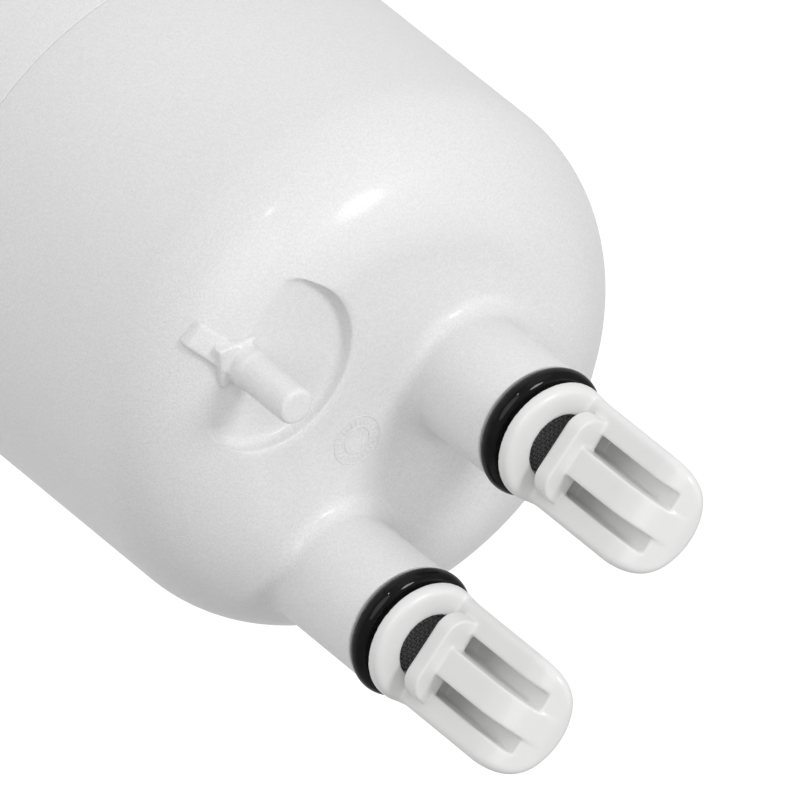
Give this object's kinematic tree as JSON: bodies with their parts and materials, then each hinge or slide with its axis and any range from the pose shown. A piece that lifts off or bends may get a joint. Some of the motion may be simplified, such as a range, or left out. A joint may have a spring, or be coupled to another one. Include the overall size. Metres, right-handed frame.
{
  "type": "water filter cartridge",
  "caption": "Round-shouldered water filter cartridge with twin push-in port tubes, seal rings, tongue tips and a key pin.",
  "frame": {"origin": "on the housing's axis, in the plane the rear cap stands on", "axes": "+Z along the housing's axis towards the ports; +X from the outlet port to the inlet port; the key pin is on the -Y side"},
  "size_m": [0.0638, 0.0638, 0.2419],
  "materials": {
    "housing_white": "satin moulded polypropylene, fine grain",
    "tip_white": "smooth satin-gloss moulded plastic",
    "seal_black": "glossy lubricated rubber",
    "screen_grey": "dark grey mesh",
    "manifold_white": "moulded natural polypropylene",
    "block_cap_white": "moulded polypropylene",
    "carbon": "sintered granular carbon",
    "wrap": "nonwoven polypropylene felt",
    "net": "extruded plastic net",
    "core": "extruded plastic tube",
    "glue": "hot-melt glue",
    "foam": "closed-cell foam",
    "label": "plain film label"
  },
  "bodies": {
    "root": {"head_cap": "housing_white", "sump_body": "housing_white", "rear_cap": "housing_white", "inlet_tip": "tip_white", "outlet_tip": "tip_white", "inlet_port_seal": "seal_black", "outlet_port_seal": "seal_black", "inlet_screen": "screen_grey", "outlet_screen": "screen_grey", "manifold": "manifold_white", "block_front_cap": "block_cap_white", "block_rear_cap": "block_cap_white", "spigot_seals": "seal_black", "front_glue_ring": "glue", "rear_glue_ring": "glue", "carbon_block": "carbon", "prefilter_wrap": "wrap", "outer_net": "net", "core_tube": "core", "rear_pad": "foam", "label_wrap": "label"}
  },
  "joints": []
}
